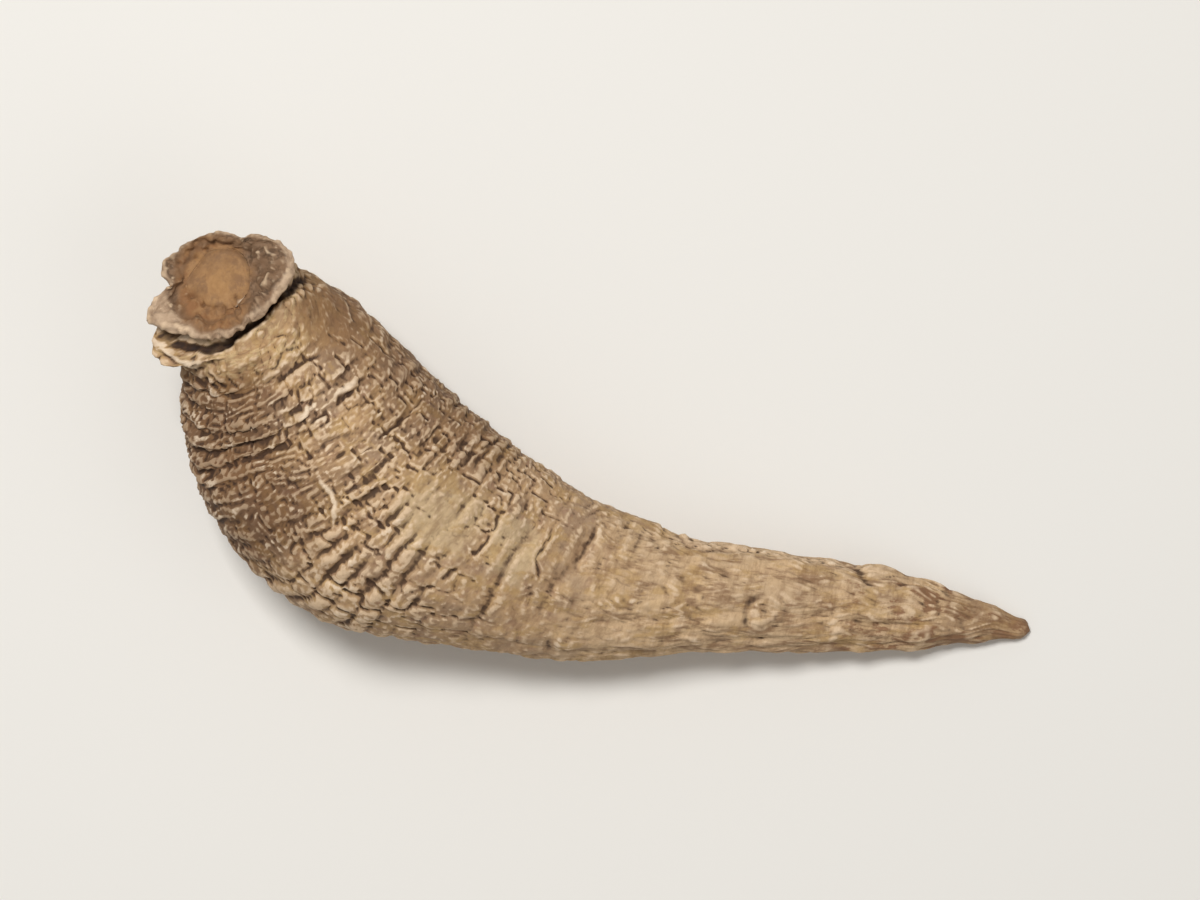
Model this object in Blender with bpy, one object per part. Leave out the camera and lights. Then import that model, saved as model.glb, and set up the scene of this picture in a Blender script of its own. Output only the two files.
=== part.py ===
"""A dried ginseng root lying on its side: one grown piece, from the cupped stem scar to the tail.

Seen from above, +X is right and +Y is up. The root is a sphere of rows and columns whose two poles
are the centre of the stem scar and the tip of the tail, and every point is moved onto the root.
"""

import math

import bmesh
import bpy
import numpy as np
from mathutils import Vector, noise

MM = 0.001

# Centre of each section in mm before the root is set on its bed, the way the root grows there in
# degrees seen from above, and how far the section's crown side is turned upwards, in degrees
SPINE = (
    (-26.3, 11.0, 15.6, -50, 76),
    (-26.0, 10.6, 14.2, -50, 71),
    (-25.6, 10.1, 13.0, -50, 58),
    (-25.0, 9.2, 11.9, -52, 47),
    (-24.1, 7.9, 10.8, -56, 38),
    (-22.8, 5.9, 9.8, -60, 30),
    (-21.6, 3.8, 9.1, -62, 23),
    (-20.3, 1.5, 8.8, -61, 17),
    (-17.5, -2.2, 8.6, -52, 9),
    (-14.1, -4.8, 8.2, -43, 4),
    (-8.7, -7.3, 7.2, -35, 1),
    (-2.3, -9.3, 6.1, -26, 0),
    (8.1, -10.8, 4.1, -16, 0),
    (17.5, -11.4, 3.0, -12, 0),
    (23.5, -12.0, 2.0, -13, 0),
    (27.5, -12.5, 1.3, -14, 0),
    (31.2, -13.2, 0.7, -16, 0),
)

# Half the thickness of the root at distances along its centreline, both in mm
SCAR_FACE = ((0.45, 0.0), (0.42, 1.2), (0.5, 1.75), (0.8, 2.1), (0.7, 2.5), (0.45, 3.1))
RIM = ((0.05, 3.8), (0.05, 4.2), (0.4, 4.4), (0.85, 4.0))
NECK = ((1.1, 3.3), (1.3, 3.0), (1.6, 3.4), (2.1, 4.2))
BODY = (
    (2.9, 4.7),
    (4.2, 5.1),
    (6.1, 5.8),
    (8.9, 7.4),
    (11.4, 8.4),
    (14.0, 9.0),
    (18.6, 9.3),
    (22.9, 9.1),
    (28.9, 7.7),
    (35.6, 5.9),
)
TAIL = (
    (46.3, 4.1),
    (55.8, 3.1),
    (59.8, 2.5),
    (62.8, 2.2),
    (65.6, 1.65),
    (68.2, 0.95),
    (69.5, 0.6),
    (69.9, 0.0),
)

SECTION_HEIGHT = 0.93  # height of the body's section over its width
FLATTENING = (5.0, 12.0)  # distances over which the round neck takes on that section
SCAR_OFFSET = (0.8, -1.0)  # how far the scar lies from the middle of its rim: sideways and up
RIM_END = 1.0  # distance along the centreline where the rim's wall gives way to the neck

# The rim's torn outline: degrees round the root and distance from its middle in mm
RIM_OUTLINE = (
    (-134, 3.6),
    (-124, 4.3),
    (-112, 4.6),
    (-98, 4.3),
    (-58, 4.2),
    (-38, 4.1),
    (-28, 3.8),
    (-18, 4.6),
    (0, 5.4),
    (27, 5.4),
    (42, 4.0),
    (84, 2.8),
    (130, 3.1),
    (166, 3.6),
    (184, 4.5),
    (198, 5.6),
    (208, 4.9),
)
NECK_FOLLOWS_RIM = 0.6  # how much of the rim's outline the neck under it shares
LOWER_SCALE = (180, 28, 2.0)  # an older scar's scale under the rim: middle, half spread and reach
LOWER_SCALE_SPAN = (1.25, 1.7, 2.0, 2.8)
RIM_TURN = (2.2, 3.9)  # the scar face is round up to the first radius, and torn from the second
NECK_TURN = (1.3, 2.1)  # distances over which the neck becomes round again

LUMP_SIZE = 7.0
LUMP_HEIGHT = 0.45
LUMP_START = (3.0, 8.0)
RING_SPACING = 1.4
RING_DEPTH = 0.2
LEFT_RING_DEPTH = 0.35  # what the rings gain on the flank with the strongest folds
UNDER_RING_SHARE = 0.3  # how strong the rings are underneath
RING_WANDER = (0.8, 6.0)  # how far a ring strays along the root, and over what length
RING_BREAKS = (-0.45, 0.35, 3.0)  # rings fade out where this noise is low: limits and size
RING_SPAN = (3.0, 7.0, 25.0, 34.0)
WRINKLES_AROUND = 9
WRINKLE_DEPTH = 0.17
WRINKLE_WANDER = (0.35, 9.0)  # in radians, and over what length
WRINKLE_TWIST = 0.012  # radians for each mm along the root
WRINKLE_SPAN = (8.0, 38.0, 60.0, 66.0)

# Rings where the skin has sunk: distance along, middle and half spread in degrees, depth in mm
GROOVES = ((31.4, 95, 50, 0.35), (35.2, 80, 38, 0.35), (63.2, 90, 180, 0.2))
GROOVE_WIDTH = 0.6
# Where thin side roots broke off: distance along, degrees round, radius and height in mm
STUBS = ((49.6, 98, 1.15, 0.25), (58.2, 20, 1.5, 0.5), (24.0, 300, 1.5, 0.9), (40.0, 215, 1.3, 0.8))

POLE_CAP = 0.8  # relief fades out where the root is thinner than this, at the scar's middle and the tip
BED_HEIGHT = 0.4  # height, on the centreline's scale, of the bed that flattened the underside

# Mesh rows lie closer where the form is fine: distance along the profile and row spacing, in mm
ROW_SPACING = ((0.0, 0.5), (9.0, 0.4), (12.0, 0.37), (34.0, 0.37), (40.0, 0.9), (56.0, 1.3), (74.0, 0.9))
COLUMNS = 36

ROOT_COLOUR = (0.46, 0.32, 0.19, 1.0)
ROOT_ROUGHNESS = 0.85


def clear_scene():
    for obj in list(bpy.data.objects):
        bpy.data.objects.remove(obj)


def smooth_through(points, samples=2000):
    """A smooth curve through these points, and the distance along it, which counts only x, y and z."""
    points = np.array(points, float)
    gap = np.linalg.norm(np.diff(points[:, :3], axis=0), axis=1)
    knot = np.concatenate([[0.0], np.cumsum(gap)])
    chord = np.diff(points, axis=0) / gap[:, None]
    inner = (chord[:-1] * gap[1:, None] + chord[1:] * gap[:-1, None]) / (gap[1:] + gap[:-1])[:, None]
    slope = np.vstack([chord[:1], inner, chord[-1:]])
    at = np.unique(np.concatenate([np.linspace(0, knot[-1], samples), knot]))
    i = np.clip(np.searchsorted(knot, at, side="right") - 1, 0, len(gap) - 1)
    t = ((at - knot[i]) / gap[i])[:, None]
    h = gap[i][:, None]
    curve = (
        (1 + 2 * t) * (1 - t) ** 2 * points[i]
        + t * (1 - t) ** 2 * h * slope[i]
        + t**2 * (3 - 2 * t) * points[i + 1]
        + t**2 * (t - 1) * h * slope[i + 1]
    )
    step = np.linalg.norm(np.diff(curve[:, :3], axis=0), axis=1)
    distance = np.concatenate([[0.0], np.cumsum(step)])
    return distance, curve


def read_at(distance, curve, at):
    """Points of a curve at these distances along it."""
    return np.stack([np.interp(at, distance, column) for column in curve.T], axis=-1)


def rows_of_profile():
    """Distance along the centreline and half thickness at each row, from scar to tip."""
    distance, curve = smooth_through(SCAR_FACE + RIM + NECK + BODY + TAIL)
    spacing = np.interp(distance, *zip(*ROW_SPACING))
    count = np.concatenate([[0.0], np.cumsum(np.diff(distance) / spacing[1:])])
    rows = int(round(count[-1]))
    at = np.interp(np.linspace(0, count[-1], rows + 1), count, distance)
    profile = read_at(distance, curve, at)
    return profile[:, 0], np.maximum(profile[:, 1], 0.0)


def sections_along(along):
    """Centre, side and upper directions of the root's sections at these distances."""
    distance, curve = smooth_through(SPINE)
    x, y, z, heading, lean = read_at(distance, curve, along).T
    heading, lean = np.radians(heading), np.radians(lean)
    side = np.stack([-np.sin(heading), np.cos(heading), np.zeros_like(x)], axis=-1)
    ahead = np.stack([np.cos(heading), np.sin(heading), np.zeros_like(x)], axis=-1)
    upper = np.sin(lean)[:, None] * ahead + np.cos(lean)[:, None] * np.array((0.0, 0.0, 1.0))
    return np.stack([x, y, z], axis=-1), side, upper


def smooth_step(low, high, x):
    t = np.clip((x - low) / (high - low), 0.0, 1.0)
    return t * t * (3 - 2 * t)


def fade(limits, x):
    """Rises from 0 to 1 and falls back to 0 between the four limits."""
    return smooth_step(limits[0], limits[1], x) * (1 - smooth_step(limits[2], limits[3], x))


def degrees_from(angle, degrees):
    """Degrees between a direction round the root and the angles, from -180 to 180."""
    return (np.degrees(angle) - degrees + 180) % 360 - 180


def bump_round(angle, degrees, spread, height):
    """A bump of that height round the root, with that half spread in degrees."""
    return height * np.exp(-((degrees_from(angle, degrees) / spread) ** 2))


def noise_at(points, size, seed):
    """Smooth noise of that feature size in mm, between about -1 and 1."""
    flat = (points / size).reshape(-1, 3) + 20.0 * seed
    values = [noise.noise(Vector(point)) for point in flat]
    return np.array(values).reshape(points.shape[:-1])


def body_relief(along, angle, radius):
    """What the lumps, rings, wrinkles, sunken rings and root stubs add to the radius, in mm."""
    straight = np.stack([along, radius * np.cos(angle), radius * np.sin(angle)], axis=-1)
    relief = LUMP_HEIGHT * noise_at(straight, LUMP_SIZE, 1) * smooth_step(*LUMP_START, along)

    upper = 0.5 + 0.5 * np.sin(angle)
    left = 0.5 - 0.5 * np.cos(angle)
    stray, length = RING_WANDER
    ringed = along + stray * noise_at(straight, length, 2)
    low, high, size = RING_BREAKS
    depth = (RING_DEPTH + LEFT_RING_DEPTH * left**2) * smooth_step(low, high, noise_at(straight, size, 3))
    depth = depth * (UNDER_RING_SHARE + (1 - UNDER_RING_SHARE) * upper)
    relief += depth * fade(RING_SPAN, along) * np.cos(2 * math.pi * ringed / RING_SPACING)

    stray, length = WRINKLE_WANDER
    turned = angle + stray * noise_at(straight, length, 4) + WRINKLE_TWIST * along
    relief += WRINKLE_DEPTH * fade(WRINKLE_SPAN, along) * np.cos(WRINKLES_AROUND * turned)

    for place, degrees, spread, depth in GROOVES:
        across = np.exp(-(((ringed - place) / GROOVE_WIDTH) ** 2))
        relief -= across * bump_round(angle, degrees, spread, depth)
    for place, degrees, size, height in STUBS:
        around = np.radians(degrees_from(angle, degrees)) * radius
        relief += height * np.exp(-((np.hypot(along - place, around) / size) ** 4))
    return relief


def crown_relief(along, radius, angle):
    """What the rim's torn outline and the older scale under it add to the radius, in mm."""
    degrees, reach = zip(*RIM_OUTLINE)
    outline = np.interp(np.degrees(angle), degrees, reach, period=360) / max(r for _, r in RIM)
    on_rim = np.where(along < RIM_END, smooth_step(*RIM_TURN, radius), 0)
    on_neck = np.where(along < RIM_END, 0, NECK_FOLLOWS_RIM * (1 - smooth_step(*NECK_TURN, along)))
    scale = bump_round(angle, *LOWER_SCALE) * fade(LOWER_SCALE_SPAN, along)
    return (on_rim + on_neck) * (outline - 1) * radius + scale


def surface_of_root():
    """Points of the root's skin in mm, as rows from scar to tip by columns round it."""
    along, radius = rows_of_profile()
    centre, side, upper = sections_along(along)
    angle = np.linspace(0, 2 * math.pi, COLUMNS, endpoint=False)
    along_grid, angle_grid = np.meshgrid(along, angle, indexing="ij")
    radius_grid = np.broadcast_to(radius[:, None], along_grid.shape)

    on_body = smooth_step(0.0, POLE_CAP, radius_grid)
    reach = radius_grid + crown_relief(along_grid, radius_grid, angle_grid)
    reach += on_body * body_relief(along_grid, angle_grid, radius_grid)
    height = 1 - (1 - SECTION_HEIGHT) * smooth_step(*FLATTENING, along_grid)
    on_scar = np.where(along < RIM_END, np.clip(1 - (radius / RIM[1][1]) ** 2, 0, 1), 0)[:, None]
    sideways, up = SCAR_OFFSET

    points = (centre + on_scar * (sideways * side + up * upper))[:, None, :]
    points = points + (reach * np.cos(angle_grid))[..., None] * side[:, None, :]
    return points + (reach * height * np.sin(angle_grid))[..., None] * upper[:, None, :]


def set_on_bed(points):
    """Flattens the underside where it meets the bed, and centres the root over the origin."""
    low, high = points.min((0, 1)), points.max((0, 1))
    points = points - ((low[0] + high[0]) / 2, (low[1] + high[1]) / 2, BED_HEIGHT)
    points[..., 2] = np.maximum(points[..., 2], 0.0)
    return points


def sphere_of_rows(name, points):
    """A closed mesh from a sphere whose rows and columns are moved to the given points."""
    rows, columns = points.shape[0] - 1, points.shape[1]
    mesh = bpy.data.meshes.new(name)
    bm = bmesh.new()
    bmesh.ops.create_uvsphere(bm, u_segments=columns, v_segments=rows, radius=1.0)
    for vertex in bm.verts:
        row = round(math.acos(max(-1.0, min(1.0, vertex.co.z))) / math.pi * rows)
        column = round(math.atan2(vertex.co.y, vertex.co.x) / (2 * math.pi) * columns) % columns
        place = points[row].mean(0) if row in (0, rows) else points[row, column]
        vertex.co = place * MM
    bmesh.ops.reverse_faces(bm, faces=bm.faces)  # the sphere is turned over on the way to the root
    bm.to_mesh(mesh)
    bm.free()
    mesh.shade_smooth()
    return mesh


def root_material():
    material = bpy.data.materials.new("dried_root_skin")
    material.use_nodes = True
    shader = material.node_tree.nodes["Principled BSDF"]
    shader.inputs["Base Color"].default_value = ROOT_COLOUR
    shader.inputs["Roughness"].default_value = ROOT_ROUGHNESS
    shader.inputs["Metallic"].default_value = 0.0
    return material


def main():
    clear_scene()
    collection = bpy.data.collections.new("ginseng_root")
    bpy.context.scene.collection.children.link(collection)
    mesh = sphere_of_rows("ginseng_root", set_on_bed(surface_of_root()))
    mesh.materials.append(root_material())
    collection.objects.link(bpy.data.objects.new("ginseng_root", mesh))


main()
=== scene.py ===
"""A dried ginseng root lying on its side, seen from straight above with its tail to the right.

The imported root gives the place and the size. One fine skin replaces it: the same centreline and
thickness, with the wrinkles, cracks, pits and colours that the solid leaves out. Lengths are in mm
until the mesh is made, unless a name says otherwise. Plan places are (x, y) on the row's frame.
"""
import math

import bmesh
import bpy
import numpy as np
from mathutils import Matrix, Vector, noise


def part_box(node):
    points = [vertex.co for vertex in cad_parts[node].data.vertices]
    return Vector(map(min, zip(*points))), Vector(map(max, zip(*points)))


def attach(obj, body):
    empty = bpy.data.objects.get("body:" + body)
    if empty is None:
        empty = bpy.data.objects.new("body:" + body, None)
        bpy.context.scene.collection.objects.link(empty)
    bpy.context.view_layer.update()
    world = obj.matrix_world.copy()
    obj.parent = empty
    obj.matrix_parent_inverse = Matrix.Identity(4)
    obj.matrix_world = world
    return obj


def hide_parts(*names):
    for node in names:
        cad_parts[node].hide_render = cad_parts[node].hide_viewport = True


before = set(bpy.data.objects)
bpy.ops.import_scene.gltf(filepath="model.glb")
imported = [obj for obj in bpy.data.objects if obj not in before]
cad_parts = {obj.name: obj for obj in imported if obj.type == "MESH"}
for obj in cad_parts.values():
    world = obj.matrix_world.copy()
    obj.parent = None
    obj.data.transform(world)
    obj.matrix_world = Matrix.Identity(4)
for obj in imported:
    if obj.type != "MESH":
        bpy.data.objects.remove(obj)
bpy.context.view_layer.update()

MM = 0.001

# The form: the solid's own values, apart from SOFT_RINGS, GROOVES and STUBS
# Centre of each section in mm before the root is set on its bed, the way the root grows there in
# degrees seen from above, and how far the section's crown side is turned upwards, in degrees
SPINE = (
    (-26.3, 11.0, 15.6, -50, 76),
    (-26.0, 10.6, 14.2, -50, 71),
    (-25.6, 10.1, 13.0, -50, 58),
    (-25.0, 9.2, 11.9, -52, 47),
    (-24.1, 7.9, 10.8, -56, 38),
    (-22.8, 5.9, 9.8, -60, 30),
    (-21.6, 3.8, 9.1, -62, 23),
    (-20.3, 1.5, 8.8, -61, 17),
    (-17.5, -2.2, 8.6, -52, 9),
    (-14.1, -4.8, 8.2, -43, 4),
    (-8.7, -7.3, 7.2, -35, 1),
    (-2.3, -9.3, 6.1, -26, 0),
    (8.1, -10.8, 4.1, -16, 0),
    (17.5, -11.4, 3.0, -12, 0),
    (23.5, -12.0, 2.0, -13, 0),
    (27.5, -12.5, 1.3, -14, 0),
    (31.2, -13.2, 0.7, -16, 0),
)

# Half the thickness of the root at distances along its centreline, both in mm
SCAR_FACE = ((0.45, 0.0), (0.42, 1.2), (0.5, 1.75), (0.8, 2.1), (0.7, 2.5), (0.45, 3.1))
RIM = ((0.05, 3.8), (0.05, 4.2), (0.4, 4.4), (0.85, 4.0))
NECK = ((1.1, 3.3), (1.3, 3.0), (1.6, 3.4), (2.1, 4.2))
BODY = (
    (2.9, 4.7), (4.2, 5.1), (6.1, 5.8), (8.9, 7.4), (11.4, 8.4), (14.0, 9.0), (18.6, 9.3),
    (22.9, 9.1), (28.9, 7.7), (35.6, 5.9),
)
TAIL = (
    (46.3, 4.1), (55.8, 3.1), (59.8, 2.5), (62.8, 2.2), (65.6, 1.65), (68.2, 0.95), (69.5, 0.6),
    (69.9, 0.0),
)

SECTION_HEIGHT = 0.93  # height of the body's section over its width
FLATTENING = (5.0, 12.0)  # distances over which the round neck takes on that section
SCAR_OFFSET = (0.8, -1.0)  # how far the scar lies from the middle of its rim: sideways and up
RIM_END = 1.0  # distance along the centreline where the rim's wall gives way to the neck

# The rim's torn outline: degrees round the root and distance from its middle in mm
RIM_OUTLINE = (
    (-134, 3.6), (-124, 4.3), (-112, 4.6), (-98, 4.3), (-58, 4.2), (-38, 4.1), (-28, 3.8),
    (-18, 4.6), (0, 5.4), (27, 5.4), (42, 4.0), (84, 2.8), (130, 3.1), (166, 3.6), (184, 4.5),
    (198, 5.6), (208, 4.9),
)
NECK_FOLLOWS_RIM = 0.6  # how much of the rim's outline the neck under it shares
LOWER_SCALE = (180, 28, 2.0)  # an older scar's scale under the rim: middle, half spread and reach
LOWER_SCALE_SPAN = (1.25, 1.7, 2.0, 2.8)
RIM_TURN = (2.2, 3.9)  # the scar face is round up to the first radius, and torn from the second
NECK_TURN = (1.3, 2.1)  # distances over which the neck becomes round again

LUMP_SIZE = 7.0
LUMP_HEIGHT = 0.45
LUMP_START = (3.0, 8.0)
RING_SPACING = 1.4
RING_DEPTH = 0.2
LEFT_RING_DEPTH = 0.35  # what the rings gain on the flank with the strongest folds
UNDER_RING_SHARE = 0.3  # how strong the rings are underneath
RING_WANDER = (0.8, 6.0)  # how far a ring strays along the root, and over what length
RING_BREAKS = (-0.45, 0.35, 3.0)  # rings fade out where this noise is low: limits and size
RING_SPAN = (3.0, 7.0, 25.0, 34.0)
SOFT_RINGS = (155, 38, 0.5)  # where the rings are gentler: middle, half spread and how much
SOFT_RINGS_SPAN = (15.0, 19.0, 28.0, 33.0)
WRINKLES_AROUND = 9
WRINKLE_DEPTH = 0.17
WRINKLE_WANDER = (0.35, 9.0)  # in radians, and over what length
WRINKLE_TWIST = 0.012  # radians for each mm along the root
WRINKLE_SPAN = (8.0, 38.0, 60.0, 66.0)

# Rings where the skin has sunk: distance along, middle and half spread in degrees, depth in mm
GROOVES = ((31.4, 95, 50, 0.35), (35.2, 80, 38, 0.3), (63.2, 90, 180, 0.12))
GROOVE_WIDTH = 0.6
# Where thin side roots broke off: distance along, degrees round, radius, height and depth of the pit
STUBS = (
    (50.2, 98, 1.15, 0.3, 0.1),
    (58.2, 20, 1.5, 0.5, 0.0),
    (24.0, 300, 1.5, 0.9, 0.15),
    (40.0, 215, 1.3, 0.8, 0.15),
)

POLE_CAP = 0.8  # relief fades out where the root is thinner than this, at the scar's middle and the tip
BED_HEIGHT = 0.4  # height, on the centreline's scale, of the bed that flattened the underside

# How the fine skin shapes that form's rings, wrinkles, stubs and rim
RING_SHARE = 0.65  # depth of the rings over the form's, as their blocks add the rest
RING_TEAR = (0.28, 0.1, 1.1)  # how ragged rings are, how much less on the left, and over what length
LEFT_RINGS_WHOLE = 0.4  # how little the rings on the left flank may fade out
WRINKLE_SHARE = 0.7
WRINKLE_TEAR = (0.3, 1.6)
FOLD_POWER = 0.75  # below 1, crests are round and valleys sharp
STUB_SHARE = 0.75
STUB_PIT = 0.25  # radius of a stub's pit over the stub's own
STUB_CREASE = (0.05, 1.2, 0.16)  # round each stub: depth, radius over the stub's own, half width
RAGGED_RIM = (0.55, 1.3)  # how far the older scale's edge strays, and over what length
RAGGED_RIM_SHARE = 0.5  # the same on the rim, over the scale's
RIM_OVERHANG = (100, 60, 0.25)  # how the fine rim reaches over the slot: middle, half spread and reach
CUP_STRAY = (0.55, 2.2)  # how far the scar's own rings stray, and over what length
CUP_SPAN = (0.3, 1.6, 3.0, 3.8)  # the radii between which they do

# The fine skin's mesh: distance along the profile and row spacing, and columns round it
ROW_SPACING = (
    (0.0, 0.13), (3.0, 0.10), (6.2, 0.10), (6.7, 0.07), (8.4, 0.07), (9.4, 0.13), (38.0, 0.145),
    (46.0, 0.2), (60.0, 0.27), (74.0, 0.27), (80.0, 0.2),
)
COLUMNS = 200
TOP_SHARE = 0.38  # how much closer than even the columns lie on the upper side
POLE_ROWS = 6  # rows at each end where the skin's finest relief fades out
CUP_PATH = 4.2  # distance over the skin from the scar's middle to its rim
CUP_STRETCH = 0.7  # how much of that distance the skin's patterns leave out
LINE_SAMPLES = 10  # points on the smooth line of a crack or fold
HOLLOW_STEPS = ((2, 1), (6, 4))  # rows and columns to the neighbours that show how hollow a point is

# Zones by the distance along the centreline: where they rise and, in the first table, fall back
BANDS = {
    "wall": (0.25, 0.5, 1.0, 1.3),
    # the neck is painted dark: painted shadow under the rim's overhang
    "neck": (0.9, 1.1, 1.4, 1.7),
    "shoulder": (1.3, 1.8, 4.5, 7.5),
    "ringed": (1.6, 4.2, 27.0, 36.0),
    "left": (2.0, 6.0, 16.0, 23.0),
    "right": (1.5, 4.0, 24.0, 30.0),
    "folds": (30.0, 34.0, 40.0, 48.0),
    "edge": (40.0, 43.0, 56.5, 58.0),
}
RISES = {"body": (1.2, 1.6), "tail": (31.0, 42.0), "far": (50.0, 58.0), "tip": (62.6, 63.6)}
# What narrows these zones: limits of the side that a place faces, degrees round the root, or radii
LEFT_SIDE = (-0.1, 0.85)
LEFT_TURN = 0.25  # radians by which the left flank is turned upwards
RIGHT_SIDE = (0.1, 0.95)
TAIL_SIDE = (14, 18)  # middle and half spread in degrees
WALL_RADII = (2.6, 3.2)
RIM_EDGE_RADII = (3.98, 4.16)
OCHRE_RADII = (3.92, 4.1)
OCHRE_LOSS = 0.85  # how much of the ochre is gone beyond the second of them
DISC_RING = (2.15, 0.3)  # the ridge round the scar's disc: radius and half width
UPWARD = (0.0, 0.35)  # how far the skin faces up where the upper side's lines and patches start

# Patches on the upper side, each: centre and half sizes
SCAR_DISC = ((-26.2, 12.0), (2.35, 2.15))
SCAR_ZONE = ((-26.6, 11.25), (2.9, 3.8))
# The smooth patches' paleness is partly their own and partly painted light.
SMOOTH_PATCHES = (((-11.1, -4.6), (3.6, 3.4)), ((-6.0, -6.8), (2.0, 2.8)))  # pale, nearly smooth skin
CALM_BELLY = ((-10.5, -8.0), (6.0, 3.2))  # where blocks are lower, below the smooth patches
ROOTLET_SCAR = ((11.4, -11.5), (1.25, 0.95))  # the round scar on the tail
BARE_SHOULDER = ((-18.9, 9.2), (2.6, 2.6))  # an ochre, smoother place beside the slot
# Distances from their centres, over their half sizes, between which the zones on them fall off
FALLS = {
    "disc": (0.78, 1.1),
    "ochre": (0.8, 1.1),
    "core": (0.1, 0.85),
    "bare": (0.6, 1.1),
    "belly": (0.6, 1.3),
    "patch": (0.55, 1.15),
}
# How ragged their edges are, each: how far they stray and over what length, with the noise's seed
RAGGED_EDGES = ((0.16, 1.6, 33), (0.08, 0.6, 34))
DISC_RAGGED_SHARE = 0.5
PATCH_RAGGED_SHARE = 1.5
PLAN_STRAYS = ((0.22, 1.3, (31, 32)), (0.15, 0.5, (61, 62)))  # the same for all lines and patches

# The rings break up into blocks: length round the root, depth of the cracks between them, how much
# blocks differ in height, how far their edges stray and over what length
BLOCKS = (2.1, 0.36, 0.22, 0.30, 1.2)
SMALL_BLOCKS = (1.2, 0.14, 0.12, 0.24, 0.8)
SMALL_SPACING = 0.66
SMALL_PATCHES = (0.35, -0.25, 0.2, 3.0)  # how strong small blocks are at least, noise limits and size
BLOCK_LENGTHS = (0.7, 0.6)  # the shortest block over the mean one, and how much longer others are
FEWEST_BLOCKS = 3
JOINT_WIDTH = 0.13
JOINT_POWER = 0.8  # below 1, more of the joints are deep
JOINT_SHOULDER = 0.25  # distance from a joint at which a block has its own height
ROW_STEP = 0.6  # how much rows differ in height, over what blocks do
ROW_EDGE = (0.3, 0.5)  # where a row's height falls off, in rows from its middle
SCRAMBLE = (12.9898, 78.233, 37.719, 4.1414, 43758.5453)  # values without a common measure, to mix up

# Fine relief, each: height, and feature size along the root and round it
RINGLETS = (0.13, 0.62, 2.2)
CROSS_CREASES = (0.12, 1.5, 0.62)
CREASE_LIFT = 0.03  # how far the cross creases stay above the ringlets
CRESTS = (0.10, 0.42, 1.3)
CRESTS_AT_LEAST = 0.5
LUMPLETS = (0.16, 1.5, 1.8)
SHOULDER_LUMPLETS = 1.2  # what they gain on the shoulder
FURROWS = (0.11, 4.5, 1.3)
FIBRES = (0.085, 2.4, 0.45)
PEBBLES = (0.27, 0.8, 0.8)
UNDER_PEBBLES = 0.35  # how strong they are underneath
TAIL_LUMPS = (0.2, 2.1, 1.5)
TAIL_EDGE = (0.16, 0.7, 0.6)
TAIL_FOLDS = (0.09, 1.3, 2.8)
CRUMPLE = (0.03, 0.45, 0.5)
CROWN_CRUMPLE = 0.5  # how strong it is on the crown
WARP = (0.55, 2.4)  # how far the wrinkles stray, and over what length
NET_STRENGTH = (0.75, 0.45)  # height of the net of wrinkles over its own, and what the left flank adds
NET_UNEVENNESS = (0.75, 0.5, 5.0)  # the same, with what noise of the last size adds or takes
SWELLING_RANGE = (2.2, 0.5)  # what swellings are multiplied by and lowered by, to reach from -0.5 to 1

# How much of a relief or a colour is lost where a zone is at its full strength
LOSSES = {
    "ringed": {"upper_shoulder": 0.65},
    "net": {"patch": 0.6, "bare": 0.6, "belly": 0.5, "tail": 0.72, "upper_shoulder": 0.7},
    "blocks": {"patch": 0.6, "bare": 0.6, "belly": 0.5, "left": 0.55, "right": 0.4},
    "small_blocks": {"patch": 0.6, "bare": 0.6, "left": 0.35},
    "pebbles": {"bare": 0.7},
    "lumplets": {"patch": 0.6, "bare": 0.6, "belly": 0.5, "tail": 0.6},
    "crumple": {"tail": 0.55, "disc": 0.6},
    "crumpled_cup": {"disc": 0.72},
    # hollow and fine_hollow weaken the painted crease shade and crest highlights
    "hollow": {"disc": 0.85, "face": 0.7, "ochre": 0.5},
    "fine_hollow": {"tail": 0.1},
}

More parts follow.
